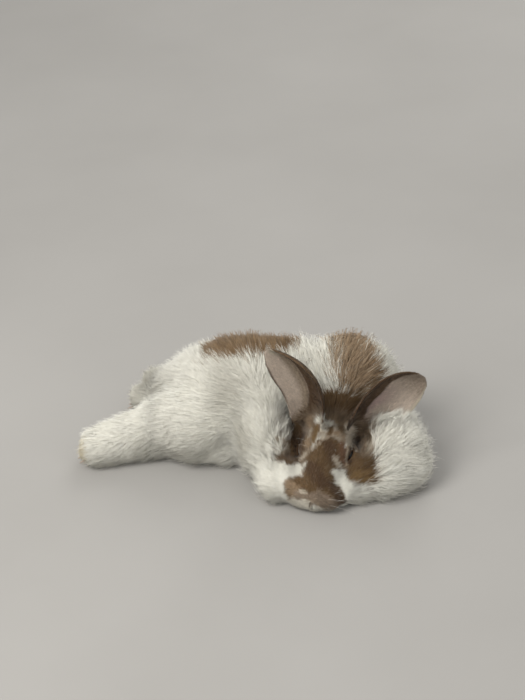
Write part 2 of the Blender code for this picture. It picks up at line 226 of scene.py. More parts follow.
def melted_skin():
    """The flesh solids as one closed surface."""
    joined = bmesh.new()
    for name in SKIN_NODES:
        piece = bmesh.new()
        piece.from_mesh(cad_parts[name].data)
        bmesh.ops.remove_doubles(piece, verts=piece.verts, dist=1e-6)
        piece.normal_update()
        for vert in piece.verts:
            vert.co += vert.normal * SEAM
        mesh = made_mesh(piece, name)
        joined.from_mesh(mesh)
        bpy.data.meshes.remove(mesh)
    balls = [(eye_frame(side), SOCKET, 4) for side in EYES]
    balls += [(FACE @ Matrix.Translation(Vector(c) / 1000), r / 1000, 3) for c, r in FILLS]
    for place, radius, cuts in balls:
        bmesh.ops.create_icosphere(joined, subdivisions=cuts, radius=radius, matrix=place)
    skin = add_object("skin", made_mesh(joined, "skin"))
    melt = skin.modifiers.new("melt", "REMESH")
    melt.mode = "VOXEL"
    melt.voxel_size = VOXEL
    apply_modifiers(skin)
    keep_largest(skin.data)
    return skin


def kd_tree(points):
    tree = KDTree(len(points))
    for k, point in enumerate(points):
        tree.insert(point, k)
    tree.balance()
    return tree


def keep_largest(mesh):
    """Drops all but the largest connected surface, such as the sealed remains of a cut."""
    pairs = edge_pairs(mesh)
    label = np.arange(len(mesh.vertices))
    old = None
    while not np.array_equal(label, old):
        old = label
        low = old[pairs].min(1)
        label = old.copy()
        for column in pairs.T:
            np.minimum.at(label, column, low)
        label = label[label]
    drop = np.flatnonzero(label != np.bincount(label).argmax())
    bm = bmesh.new()
    bm.from_mesh(mesh)
    bm.verts.ensure_lookup_table()
    bmesh.ops.delete(bm, geom=[bm.verts[i] for i in drop], context="VERTS")
    bm.to_mesh(mesh)
    bm.free()


def node_of(points):
    """The name of the solid nearest to each point, as an index into SKIN_NODES."""
    bm = bmesh.new()
    owner = []
    for i, name in enumerate(SKIN_NODES):
        bm.from_mesh(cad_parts[name].data)
        owner += [i] * (len(bm.faces) - len(owner))
    tree = BVHTree.FromBMesh(bm)
    bm.free()
    owner = np.array(owner)
    return owner[[tree.find_nearest(p)[2] for p in points]]


# ---- the coat's facts
# per kind of node: coat depth, tuft length, tuft width in millimetres, density, clumping
COAT = {
    "head": (2.6, 8.0, 0.24, 3.0, 0.20),
    "ear": (0.4, 3.4, 0.20, 2.2, 0.05),
    "neck": (10.0, 27.0, 0.34, 1.6, 0.32),
    "chest": (9.0, 21.0, 0.32, 1.6, 0.24),
    "foreleg": (8.0, 19.0, 0.32, 1.4, 0.24),
    "trunk": (7.0, 18.0, 0.32, 1.3, 0.19),
    "rump": (7.0, 19.0, 0.32, 1.2, 0.22),
    "tail": (7.0, 20.0, 0.32, 1.3, 0.35),
    "thigh": (6.0, 16.0, 0.32, 1.4, 0.20),
    "foot": (4.6, 12.5, 0.29, 1.8, 0.32),
}
DEPTH, LENGTH, WIDTH, DENSITY, CLUMP = range(5)
# zones of the head on both sides, in the face frame in millimetres: centre, radii, and the
# same five facts
FACE_ZONES = [
    ((0, -42, 20), (30, 20, 20), (3.0, 13.0, 0.28, 2.6, 0.35)),
    ((0, 0, 15), (26, 34, 16), (1.8, 6.0, 0.21, 4.4, 0.18)),
    ((40, -10, -20), (14, 40, 24), (5.0, 14.0, 0.28, 2.4, 0.30)),
    ((0, 40, -10), (36, 28, 24), (1.4, 4.0, 0.18, 5.4, 0.10)),
    ((26, -2, -1), (14, 17, 12), (0.6, 3.2, 0.17, 5.4, 0.10)),
]
EAR_ROOTS = ((0.0150, -0.0250, 0.0180), (-0.0190, -0.0230, 0.0150))  # in the face frame
EAR_ROOT_REACH = (0.014, 0.034)  # the fur there shortens over this
EAR_ROOT_COAT = (2.0, 10.5, 0.24, 3.2, 0.30)  # as in the tables above
FLOOR_DEPTH = 0.0012  # of the pressed fur under the animal
FACT_BLEND = 34  # smoothing passes across the borders between nodes
SKIN_SHADE = 0.90  # painted shade: the skin under the coat is painted a little darker than the hair, which shades it
UNDERSIDE = 0.25  # share of the coat's density that the pressed underside keeps


def mirrored(place):
    """Rows of x, y and z with their mirror image, unless all lie in the middle."""
    sides = (1, -1) if np.any(place, 0)[0] else (1,)
    return [np.array(place) * (side, 1, 1) for side in sides]


def in_metres(row):
    """A row of five coat facts, with its millimetres in metres."""
    return np.array(row) / (1000, 1000, 1000, 1, 1)


def coat_facts(points, kinds, smoother):
    """Depth, length, width, density and clumping at each of the skin's vertices."""
    facts = np.array([in_metres(COAT[kind]) for kind in KINDS])[kinds]
    ear = (KINDS == "ear")[kinds]
    local = in_face(points)
    for centre, radii, values in FACE_ZONES:
        for middle in mirrored([centre]):
            far = norm((local * 1000 - middle) / radii)
            share = (1 - ease(far, 0.8, 1.2)) * ~ear
            facts += share[:, None] * (in_metres(values) - facts)
    far = np.min([norm(local - root) for root in EAR_ROOTS], 0)
    rooted = (1 - ease(far, *EAR_ROOT_REACH)) * ear
    facts += rooted[:, None] * (in_metres(EAR_ROOT_COAT) - facts)
    facts = smoother.smooth(facts, FACT_BLEND)
    return facts, smoother.smooth(ear.astype(float), 2)


def underside(mesh, facts):
    """The places on the floor, the place on a wall that each one follows, and how closely."""
    points = coords(mesh)
    steep = norm(normals(mesh)[:, :2]) > WALL_STEEP
    low = points[:, 2] < WALL_HIGH
    wall = np.flatnonzero(low & steep)
    under = np.flatnonzero(low & ~steep)
    tree = kd_tree(points[wall])
    _, nearest, apart = zip(*(tree.find(p) for p in points[under]))
    follows = wall[list(nearest)]
    held = np.maximum(0, 1 - np.array(apart) / (WALL_REACH * facts[follows, DEPTH]))
    return under, follows, held


def off_floor(points):
    points[:, 2] = np.maximum(points[:, 2], FLOOR_DEPTH)
    return points


def push_in(mesh, facts, ear, smoother):
    """Moves the skin in by the coat's depth, a little at a time, smoothing as it goes."""
    points = coords(mesh)
    soft = ease(facts[:, DEPTH], *DEEP_COAT)[:, None]
    under, wall, held = underside(mesh, facts)
    for _ in range(PUSHES):
        normal = normals(mesh)
        pressed = ease(-normal[:, 2], 0.4, 0.9) * (1 - ease(points[:, 2], 0.001, 0.008))
        depth = facts[:, DEPTH] + SEAM
        side = normal[:, :2] * (depth / PUSHES)[:, None]
        side[under] = held[:, None] * side[wall]
        points[:, :2] -= side
        depth += pressed * (FLOOR_DEPTH - depth)
        points[:, 2] -= normal[:, 2] * depth / PUSHES
        points = off_floor(smoother.smooth(points, 1, PUSH_BLEND * soft))
        set_coords(mesh, points)
    set_coords(mesh, off_floor(faired(points, ear, smoother)))


def faired(points, ear, smoother):
    """Smooths the pushed skin: all of it, then spikes, the ears and their roots."""
    for _ in range(FAIRING):
        points = smoother.smooth(points, 1, FAIR_IN)
        points = smoother.smooth(points, 1, -FAIR_OUT)
    bent = norm(smoother.mean(points) - points)
    sharp = ease(bent / VOXEL, *SPIKE) * (1 - smoother.smooth(ear, 6))
    sharp = np.minimum(1, 4 * smoother.smooth(sharp, 4))[:, None]
    points = smoother.smooth(points, SPIKE_FAIRING, 0.5 * sharp)
    leaf = smoother.smooth(ear, 3)[:, None]
    points = smoother.smooth(points, EAR_FAIRING, 0.5 * leaf)
    mixed = smoother.smooth(ear, ROOT_FILLET)
    fillet = ease(4 * mixed * (1 - mixed), 0.3, 0.9)[:, None]
    return smoother.smooth(points, ROOT_FILLET, 0.5 * fillet)


# ---- head forms, lids and nose
LID_THICK = 0.0011
LID_ROUND = 0.0050  # how far from the slit the lids hug the eyeball
SLIT_LONG = 0.0086  # half length of the slit between the lids
SLIT_WIDE = 0.0012  # half width
LID_REACH = 0.0128  # the lids lie within this of the eye's middle
LID_CLEAR = 0.0006  # the skin stays this far off the eyeball
LID_FRONT = 0.003  # skin is drawn to the eye ahead of this
LID_FAR = 0.0170  # and within this of its middle
LID_RIM = 0.0005  # how far the lids' rims stand up, and lie from the slit
LID_RIM_WIDE = 0.0009
SLIT_SIDES = 28
SLIT_LOW = 0.0045  # how deep in the eyeball the slit's cutter starts
# swells and hollows of the head on both sides, in the face frame in millimetres: start, end,
# width, height
FORMS = [
    ((0, 10, 15), (0, 44, -4), 8.0, 1.0),
    ((16, 44, -6), (15, 50, -12), 7.5, 2.2),
    ((25, -12, 10), (19, 12, 7), 3.8, 1.6),
    ((17, 24, 4), (23, 33, -1), 5.5, -1.4),
    ((24, 37, -5), (27, 42, -16), 4.0, -1.2),
    ((33, 24, -4), (38, 14, -6), 7.0, 1.2),
]
# the split lip, the mouth and the nostrils, in the same way
GROOVES = [
    ((0, 59, -15), (0, 56, -25.5), 1.1, -1.2),
    ((0, 56, -25.5), (9, 50, -30), 1.2, -1.1),
    ((2.4, 59, -13.5), (6.6, 56, -10), 1.2, -2.0),
]
NOSE_TIP = Vector((0.0, 0.0540, -0.0180))
FINE_EYE = (0.0190, 0.0140)  # the skin is refined within these reaches of each eye
FINE_NOSE = (0.0200, 0.0160)
# between the toes of the near hind foot, as shares of its box: y of each groove
TOE_GROOVES = (0.28, 0.46, 0.64)
TOE_LONG = (0.010, 0.030)  # the grooves fade out over this from the toes' tips
TOE_SLANT = 0.15
TOE_WIDE = 0.0028
TOE_DEEP = 0.0048
# creases of the body from the middle of the trunk's box, in the same way
CREASES = [
    ((-112, -27, -22), (-112, -24, -52), 6.0, -5.0),
    ((-86, -40, -36), (-94, -34, -52), 4.5, -3.0),
    ((-66, -50, -34), (-72, -44, -52), 4.5, -2.8),
]


def in_eye(points, side):
    return placed(points, eye_frame(side).inverted())


def from_stroke(points, start, end):
    """Distance from each point to the line between start and end."""
    start, end = np.array(start), np.array(end)
    along = end - start
    share = (points - start) @ along / max(along @ along, 1e-12)
    nearest = start + np.clip(share, 0, 1)[:, None] * along
    return norm(points - nearest)


def shape_lids(mesh):
    """Draws the skin in round each slit until it lies on the eyeball like a lid."""
    points = coords(mesh)
    nearest = EYE_RADIUS + LID_CLEAR
    for side in EYES:
        local = in_eye(points, side)
        reach = norm(local)
        y = np.clip(local[:, 1], -SLIT_LONG, SLIT_LONG)
        across = np.hypot(local[:, 1] - y, local[:, 2])
        share = 1 - ease(across, 0.3 * LID_ROUND, LID_ROUND)
        share *= (local[:, 0] > LID_FRONT) & (reach < LID_FAR)
        moved = local * ((EYE_RADIUS + LID_THICK) / np.maximum(reach, 1e-6))[:, None]
        local = local + share[:, None] * (moved - local)
        reach = norm(local)
        close = (reach < nearest) & (reach > 0.5 * EYE_RADIUS)
        local[close] *= (nearest / reach[close])[:, None]
        near = (share > 0) | close
        points[near] = placed(local[near], eye_frame(side))
    set_coords(mesh, points)


def slit_cutter(side):
    """An almond-shaped peg through both lids, down to inside the eyeball."""
    bm = bmesh.new()
    rim = []
    for k in range(SLIT_SIDES):
        a = 2 * math.pi * k / SLIT_SIDES
        z = SLIT_WIDE * math.sin(a) * abs(math.sin(a)) ** 0.4
        rim.append((SLIT_LONG * math.cos(a), z))
    low = [bm.verts.new((SLIT_LOW, y * 0.6, z)) for y, z in rim]
    high = [bm.verts.new((LID_REACH, y * 1.15, z * 1.3)) for y, z in rim]
    bm.faces.new(low)
    bm.faces.new(high)
    for k in range(SLIT_SIDES):
        n = (k + 1) % SLIT_SIDES
        bm.faces.new((low[k], low[n], high[n], high[k]))
    bm.transform(eye_frame(side))
    bm.normal_update()
    bmesh.ops.recalc_face_normals(bm, faces=bm.faces)
    return add_object("slit", made_mesh(bm, "slit"))


def cut_slits(skin):
    for side in EYES:
        cutter = slit_cutter(side)
        cut = skin.modifiers.new("slit", "BOOLEAN")
        cut.operation = "DIFFERENCE"
        cut.solver = "MANIFOLD"
        cut.object = cutter
        apply_modifiers(skin)
        bpy.data.objects.remove(cutter, do_unlink=True)


def refine(mesh, centre, reaches):
    """Splits the skin's edges within each reach of a place, once for each reach."""
    for reach in reaches:
        bm = bmesh.new()
        bm.from_mesh(mesh)
        edges = [e for e in bm.edges if all((v.co - centre).length < reach for v in e.verts)]
        bmesh.ops.subdivide_edges(bm, edges=edges, cuts=1, use_grid_fill=True, smooth=0.5)
        bmesh.ops.triangulate(bm, faces=[f for f in bm.faces if len(f.verts) > 3])
        bm.to_mesh(mesh)
        bm.free()


def relax(mesh, centre, reach, passes):
    """Smooths the skin round a place."""
    points = coords(mesh)
    near = 1 - ease(norm(points - np.array(centre)), 0.6 * reach, reach)
    points += near[:, None] * (Smoother(mesh).smooth(points, passes) - points)
    set_coords(mesh, points)


def raise_skin(mesh, rise):
    set_coords(mesh, coords(mesh) + normals(mesh) * rise[:, None])


def press(mesh, places, rows):
    """Raises or sinks the skin by rows of a line, a width and a height, in millimetres."""
    rise = np.zeros(len(places))
    for (start, end), width, height in rows:
        rise += height * bump(from_stroke(places, start, end), width)
    raise_skin(mesh, rise / 1000)


def shape_face(mesh, table):
    """Forms of the face in both halves, from rows of start, end, width and height."""
    rows = [(line, *rest) for start, end, *rest in table for line in mirrored([start, end])]
    press(mesh, in_face(coords(mesh)) * 1000, rows)


def shape_toes(mesh):
    """Grooves between the toes of the stretched hind foot."""
    low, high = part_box("foot_hind_right")
    points, normal = coords(mesh), normals(mesh)
    for share in TOE_GROOVES:
        ahead = points[:, 0] - low.x
        far = points[:, 1] - low.y - share * (high.y - low.y) - TOE_SLANT * ahead
        depth = TOE_DEEP * (1 - ease(ahead, *TOE_LONG))
        points -= normal * (depth * bump(far, TOE_WIDE))[:, None]
    set_coords(mesh, points)


def shape_creases(mesh):
    """Creases at the heel and between the folds of the flank."""
    body = (coords(mesh) - np.array(centre_of("trunk"))) * 1000
    press(mesh, body, [((start, end), *rest) for start, end, *rest in CREASES])
    set_coords(mesh, off_floor(coords(mesh)))


def rim_lids(mesh):
    """Raises the rims of the lids."""
    points = coords(mesh)
    for side, eye in EYES.items():
        out = unit(points - np.array(centre_of(eye)))
        rise = LID_RIM * bump(slit_reach(points, side) - LID_RIM, LID_RIM_WIDE)
        points += out * rise[:, None]
    set_coords(mesh, points)


def slit_reach(points, side):
    """How far each point is from the edge of the slit between the lids of one eye."""
    local = in_eye(points, side)
    past = np.maximum(np.abs(local[:, 1]) - SLIT_LONG, 0)
    wide = SLIT_WIDE * np.sqrt(np.clip(1 - (local[:, 1] / SLIT_LONG) ** 2, 0, 1))
    far = np.hypot(past, np.maximum(np.abs(local[:, 2]) - wide, 0))
    far[(local[:, 0] < 0) | (norm(local) > LID_REACH)] = 1.0
    return far


# ---- lie of the coat
NOSE = Vector((0.0, 0.0560, -0.0170))  # in the face frame
GRAVITY = 0.45  # how much hair hangs
FAR_BLEND = 40  # smoothing passes of the distances from the nose
FLOW_BLEND = 16  # and of the directions


def away_from(mesh, start):
    """Distance over the surface from the vertex nearest to start."""
    points = coords(mesh)
    pairs = edge_pairs(mesh)
    steps = norm(points[pairs[:, 0]] - points[pairs[:, 1]])
    ways = [[] for _ in points]
    for (a, b), step in zip(pairs.tolist(), steps.tolist()):
        ways[a].append((b, step))
        ways[b].append((a, step))
    seed = int(norm(points - np.array(start)).argmin())
    far = [math.inf] * len(points)
    far[seed] = 0.0
    queue = [(0.0, seed)]
    while queue:
        here, vertex = heapq.heappop(queue)
        if here > far[vertex]:
            continue
        for other, step in ways[vertex]:
            if here + step < far[other]:
                far[other] = here + step
                heapq.heappush(queue, (far[other], other))
    return np.array(far)


def triangles(mesh):
    mesh.calc_loop_triangles()
    return read_items(mesh.loop_triangles, "vertices", 3, np.int32)


def lie_of_coat(mesh, smoother):
    """The direction in which hair lies at each vertex, along the surface."""
    points = coords(mesh)
    tris = triangles(mesh)
    far = smoother.smooth(away_from(mesh, FACE @ NOSE), FAR_BLEND)
    corners = points[tris]
    opposite = np.roll(corners, -2, 1) - np.roll(corners, -1, 1)
    normal = np.cross(opposite[:, 2], -opposite[:, 1])
    area = np.maximum((normal**2).sum(1), 1e-20)[:, None]
    slope = (np.cross(normal[:, None], opposite) * far[tris][..., None]).sum(1) / area
    flow = np.zeros_like(points)
    for corner in tris.T:
        for axis in range(3):
            flow[:, axis] += np.bincount(corner, slope[:, axis], len(points))
    flow = unit(flow)
    flow[:, 2] -= GRAVITY * ease(points[:, 2], 0.002, 0.030)
    up = unit(smoother.smooth(normals(mesh), 3))
    flow = smoother.smooth(flow, FLOW_BLEND)
    flow -= up * (flow * up).sum(1, keepdims=True)
    return unit(flow), up


# ---- markings
TONES = {  # linear colours of the hair
    "white": (0.860, 0.850, 0.780),
    "ivory": (0.690, 0.655, 0.570),
    "cream": (0.540, 0.480, 0.390),
    "straw": (0.700, 0.640, 0.490),
    "grey": (0.480, 0.465, 0.405),
    "sand": (0.420, 0.345, 0.260),
    "tan": (0.350, 0.255, 0.165),
    "taupe": (0.235, 0.172, 0.115),
    "sable": (0.240, 0.160, 0.088),
    "brown": (0.150, 0.093, 0.046),
    "amber": (0.250, 0.158, 0.068),
    "rust": (0.185, 0.098, 0.055),
    "umber": (0.105, 0.062, 0.034),
    "dark": (0.066, 0.038, 0.020),
    "rosy": (0.285, 0.222, 0.165),
    "mauve": (0.520, 0.395, 0.370),
    "lining": (0.600, 0.510, 0.430),
}
MASK_SLOPE = math.radians(28)  # the face falls towards the nose by this
MASK_LOW = -0.018  # marks of the face end this far below its plane, higher at the muzzle
# strokes painted one over the other on the sloping plane of the face, in millimetres to the
# rabbit's right and forward from the middle between the eyes: tone, then the x and y of
# start and end and the radius of each stroke
FACE_MARKS = [
    ("taupe", [(24, -38, -24, -38, 15)]),
    ("brown", [(24, -46, -22, -49, 9.5)]),
    ("taupe", [(24, -22, -22, -22, 14), (-28, -34, -36, -16, 11), (16, -8, 14, 12, 8.5)]),
    ("tan", [(18, -24, 13, 0, 4.2), (-4, -28, -13, -10, 5.5)]),
    ("brown", [
        (-8, 4, -5, 16, 12), (-4, 20, -2, 32, 14), (12, 43, -15, 45, 10), (16, 44, 14, 50, 9),
        (-12, 46, -18, 50, 10), (28, -20, 27, 12, 9.5), (30, 4, 32, 15, 8),
        (-33, 4, -37, 23, 10.5), (-43, 10, -44, 20, 5.5), (-26, 15, -29, 22, 5.5),
    ]),
    ("taupe", [(-19, 12, -22, 16, 3)]),
    ("umber", [(4, 26, -8, 40, 6), (-16, 40, -24, 50, 4.5), (-6, 0, -13, 14, 4.5)]),
    ("taupe", [(-29, -14, -41, -4, 7)]),
    ("amber", [(-33, 26, -38, 27, 4.5)]),
    ("rosy", [(-6, 52, -17, 54, 4.6)]),
    ("tan", [(20, 44, 15, 50, 4.6)]),
    ("rosy", [(13, 51, 5, 53, 3.4)]),
    ("umber", [(27, -18, 20, 14, 4.6)]),
    ("dark", [(32, -11, 26, 13, 2.4)]),
    ("sand", [(38, 4, 37, 12, 2.6)]),
    ("brown", [(31, 15, 27, 21, 3.6)]),
    ("rust", [(-18, -3, -21, 10, 3.8)]),
    ("dark", [(-24, -14, -27, 12, 2.6), (-22, -28, -24, -14, 3)]),
    ("brown", [(-5, -23, -13, -21, 3.4)]),
    ("amber", [(9, -18, 7, -2, 3)]),
    ("brown", [(-4, -19, -5, -8, 2.2)]),
    ("rosy", [(22, -26, 18, -14, 2.6)]),
    ("white", [(8, -25, -3, -24, 3)]),
    ("ivory", [(3, -22, 1, -15, 2.4)]),
    ("cream", [(1, -13, -1, -4, 1.7), (3, 5, 0, 1, 1)]),
    ("sand", [(-3, -5, -5, -9, 1.2)]),
    ("cream", [(-18, -26, -23, -9, 3.2), (15, -18, 14, -8, 1.3), (-7, -25, -9, -17, 1.2)]),
    ("sand", [(-14, -14, -15, -8, 1.2)]),
    ("cream", [(-9, -10, -13, -9, 1.6), (18, 14, 12, 11, 1.9)]),
    ("sand", [(10, 9, 5, 6, 1.3), (-23, -8, -23, 14, 0.8), (24, 2, 25, 12, 0.7)]),
    ("cream", [(-14, 12, -16, 17, 2)]),
    ("white", [(-17, 25, -24, 31, 3.6)]),
    ("cream", [(-35, -26, -35, -24, 2.4), (-41, -8, -42, -4, 2.6), (9, 49, 5, 50, 1.8)]),
    ("rosy", [(2, 54, -14, 57, 3.4)]),
    ("ivory", [(22, 57, 4, 59, 3.4), (2, 62, -26, 61, 2.6)]),
    ("umber", [(1, 57, 0, 59, 0.5)]),
]
# the same on the body, with x, y and z from the middle of the trunk's box
BODY_MARKS = [
    ("sable", [
        (-17, 27, 54, 16, 20, 62, 34), (-6, 56, 44, 16, 54, 44, 26), (22, 14, 61, 36, 0, 57, 13),
        (-45, 20, 49, -50, 2, 44, 5.5),
    ]),
    ("tan", [(88, 40, 50, 92, -4, 63, 20), (92, -6, 62, 94, -34, 28, 19)]),
    ("sable", [(112, -28, 42, 106, -38, 24, 8)]),
    ("cream", [(78, 2, 60, 84, -30, 30, 2.5)]),
    ("straw", [(-183, -14, -28, -178, -27, -47, 7.5)]),
    ("taupe", [(-135, -24, -28, -133, -24, -28, 1.9)]),
    ("cream", [(100, 0, 60, 101, -34, 28, 1.8)]),
]
# painted shade: grey strokes over the hollows and creases of the body, under the belly and over the
# far foot and tail, where shade falls: start, end and width in the same way
SHADE_STROKES = [
    (-28, -17, 44, -22, -32, 26, 22),
    (-22, -36, 20, -17, -69, -9, 17),
    (-17, -70, -12, -16, -73, -30, 15),
    (-112, 61, -17, -134, 67, -42, 24),
    (-118, 72, -11, -100, 24, 1, 14),
    (-97, -30, -38, -62, -42, -41, 10),
    (28, -60, -20, 30, -84, -44, 9),
    (-112, -26, -26, -112, -24, -50, 8),
    (-86, -40, -34, -94, -34, -50, 7),
]
# how much grey painted shade a stroke lays at its middle
SHADE_SHARE = 0.60
FRAY = 0.0017  # how ragged the markings' edges are
# ears, seen into the cup: where the dark fold starts across the ear, and the pale flap of
# the left one; both from root to tip
RIGHT_FOLD = ((0.0, -0.28), (0.2, -0.22), (0.5, -0.10), (0.8, -0.05), (1.0, 0.0))
LEFT_FOLD = ((0.0, 0.40), (0.2, 0.20), (0.38, 0.05), (0.52, -0.10), (0.68, -0.32), (1.0, -0.42))
LEFT_FLAP = ((0.0, 1.3), (0.5, 1.0), (0.75, 0.86), (1.0, 0.82))
STREAKS = 0.12  # how far a lock's colour strays from its root's, as a share of its length


def ragged(points, scale, seed):
    """Smooth noise from -1 to 1 at each point."""
    shift = Vector((seed, 2 * seed, 3 * seed))
    return np.array([noise.noise(Vector(p) / scale + shift) for p in points]) * 1.6


def blend(colour, tone, share):
    """Mixes a tone into the colours by each point's share."""
    return colour + share[:, None] * (np.array(TONES[tone]) - colour)


def paint(colour, local, marks, fray, kept=1.0):
    for tone, strokes in marks:
        for *ends, radius in strokes:
            start, end = np.reshape(ends, (2, -1)) / 1000
            radius /= 1000
            far = from_stroke(local, start, end) + fray * min(1.0, radius / 0.005)
            edge = min(0.0022, radius * 0.45)
            share = 1 - ease(far, radius - edge, radius + edge)
            colour[:] = blend(colour, tone, share * kept)


def mask_places(points):
    """Places on the sloping plane of the face, and whether they are near enough to it."""
    local = in_face(points)
    c, s = math.cos(MASK_SLOPE), math.sin(MASK_SLOPE)
    ahead = local[:, 1] * c - local[:, 2] * s
    above = local[:, 1] * s + local[:, 2] * c
    low = MASK_LOW + 0.2 * np.maximum(ahead + 0.010, 0)
    return np.stack([local[:, 0], ahead], 1), ease(above, low, low + 0.004)


def line_at(line, along):
    return np.interp(along, *zip(*line))


def ear_colours(at):
    """Colours of the ears: at holds the side of the cup, across, along and which ear."""
    side, across, along, which = at.T
    cup = ease(side, -0.10, 0.30)
    right = cup * (which > 0)
    fold = line_at(RIGHT_FOLD, along)
    lit = right * (1 - ease(across, fold - 0.03, fold + 0.06))
    streak = bump(across - fold + 0.14, 0.05) * ease(along, 0.10, 0.30)
    tip = ease(along, 0.86, 0.93) * ease(across, -0.75, -0.5)
    left = cup * (which < 0)
    left_fold = line_at(LEFT_FOLD, along)
    open_left = left * ease(across, left_fold - 0.06, left_fold + 0.05)
    near = (1 - ease(along, 0.35, 0.75)) * (1 - ease(across, 0.1, 0.6))
    flap = line_at(LEFT_FLAP, along)
    rim = ease(np.abs(across), 0.90, 0.96) * cup * (along < 0.97)
    dark_rim = rim * ((which > 0) | (across < 0)) * ease(along, 0.12, 0.40)
    layers = [
        ("sable", 0.35 * ease(along, 0.3, 0.9)),
        ("lining", lit),
        ("taupe", lit * ease(across, fold - 0.50, fold - 0.10) * 0.75),
        ("sand", lit * streak * 0.8),
        ("cream", lit * tip),
        ("lining", open_left),
        ("mauve", open_left * near),
        ("taupe", open_left * 0.5 * ease(along, 0.65, 0.95)),
        ("rust", open_left * 0.6 * (1 - ease(along, 0.05, 0.22))),
        ("cream", left * ease(across, flap - 0.03, flap + 0.05)),
        ("dark", dark_rim * 0.8),
        ("brown", cup * 0.7 * (1 - ease(along, 0.0, 0.10))),
    ]
    colour = np.tile(np.array(TONES["umber"]), (len(at), 1))
    for tone, share in layers:
        colour = blend(colour, tone, share)
    return colour


def markings(points, ear, ear_place):
    """The coat's colour at each point; skin and tufts share it.

    ear is how far a point belongs to an ear, and ear_place where on it.
    """
    colour = np.tile(np.array(TONES["white"]), (len(points), 1))
    fray = FRAY * (ragged(points, 0.0040, 3.0) + 0.5 * ragged(points, 0.0016, 7.0))
    body = points - np.array(centre_of("trunk"))
    # painted shade over the hollows, creases and shaded underside of the body
    for *ends, width in SHADE_STROKES:
        far = from_stroke(body * 1000, *np.reshape(ends, (2, -1)))
        colour = blend(colour, "grey", SHADE_SHARE * bump(far, width))
    paint(colour, body, BODY_MARKS, 2.5 * fray)
    places, kept = mask_places(points)
    paint(colour, places, FACE_MARKS, fray, kept)
    across, along, which = ear_place[:, 1:].T
    rooted = along - 0.09 * (which > 0) * ease(across, 0.2, 0.7)
    share = ease(ear, 0.35, 0.75) * ease(rooted, 0.04, 0.17)
    return colour + share[:, None] * (ear_colours(ear_place) - colour)


# ---- tufts
TUFTS = 485000
LOCKS = 60000  # tufts gather towards this many guides
PIECE_TUFTS = 62000  # at most this many in one coat piece
STATIONS = (0.0, 0.46, 1.0)  # along a tuft
# a tuft's points: its station and its place across, in half widths
BLADE = ((0, -0.80), (0, 0.80), (1, -1.0), (1, 1.0), (2, 0.0))
BLADE_TRIANGLES = np.array([(0, 1, 3), (0, 3, 2), (2, 3, 4)])
BLADE_UV = np.array([(-1, -1), (1, -1), (-0.9, 0.2), (0.9, 0.2), (0, 1)])
ROOTED = -0.2  # depth of a tuft's root under the skin, as a share of the coat's
PATCH = 0.0015  # half the side of a tuft's patch of the map
FLUFF = 0.012  # size of the soft swells in the coat
TICKED = 0.10  # share of the dark tufts that are sandier
WISPS = 0.035  # share of the tufts that stand out
LIFT = (0.22, 0.80, 0.60)  # tips stand this high, in coat depths: least, spread and wisps
LENGTHS = (0.70, 1.08)  # shares of the length and the width that single tufts have
WIDTHS = (0.7, 1.3)
STRAY = 0.045  # how far tufts stray, in lengths
ROLL = 0.55  # and how far they turn about their own line
TONE_SPREAD = 0.13  # how locks and tufts differ in lightness
DARK_ROOTS = np.array([0.80, 0.77, 0.74])  # the tone of roots under dark tips
PALE_ROOTS = np.array([0.94, 0.93, 0.91])  # and under pale ones
FLOOR_CLEAR = 0.0003  # no hair reaches lower
LID_BARE = 0.0004  # hairless rim of the lids
AREAS = {  # coat pieces by kind of node
    "coat_head": ("head",),
    "coat_ears": ("ear",),
    "coat_ruff": ("neck", "chest", "foreleg"),
    "coat_trunk": ("trunk",),
    "coat_hind": ("rump", "tail", "thigh", "foot"),
}


class Surface:
    """The skin with its values at each vertex, ready to be read anywhere on it."""

    def __init__(self, mesh, facts, ear, ear_place, flow, up):
        self.points = coords(mesh)
        self.tris = triangles(mesh)
        self.values = np.hstack([facts, ear[:, None], ear_place, flow, up])
        a, b, c = (self.points[self.tris[:, k]] for k in range(3))
        self.area = norm(np.cross(b - a, c - a)) / 2
        self.tree = BVHTree.FromPolygons(self.points.tolist(), self.tris.tolist())
        loops = read_items(mesh.loop_triangles, "loops", 3, np.int32)
        self.uv = read_items(mesh.uv_layers["OFBake"].uv, "vector", 2)[loops]

    def scatter(self, number, rng):
        """Places spread by the coat's density: triangles and weights of their corners."""
        load = np.cumsum(self.area * self.values[:, DENSITY][self.tris].mean(1))
        spots = (np.arange(number) + rng.random(number)) / number * load[-1]
        tri = np.minimum(np.searchsorted(load, spots), len(self.tris) - 1)
        u, v = rng.random(number), rng.random(number)
        fold = u + v > 1
        u[fold], v[fold] = 1 - u[fold], 1 - v[fold]
        return tri, np.stack([1 - u - v, u, v], 1)

    def read(self, tri, weight):
        corners = self.tris[tri]
        place = (self.points[corners] * weight[..., None]).sum(1)
        return place, (self.values[corners] * weight[..., None]).sum(1)

    def nearest(self, points):
        """The closest places on the skin, and the values of their triangles."""
        found = [self.tree.find_nearest(p) for p in points]
        place = np.array([f[0] for f in found])
        return place, self.values[self.tris[[f[2] for f in found]]].mean(1)


EAR, EAR_PLACE = 5, slice(6, 10)
FLOW, UP = slice(10, 13), slice(13, 16)


def turned_about(v, axis, angle):
    """Each v turned about its unit axis by its angle."""
    c, s = np.cos(angle)[:, None], np.sin(angle)[:, None]
    return v * c + np.cross(axis, v) * s + axis * (axis * v).sum(1, keepdims=True) * (1 - c)


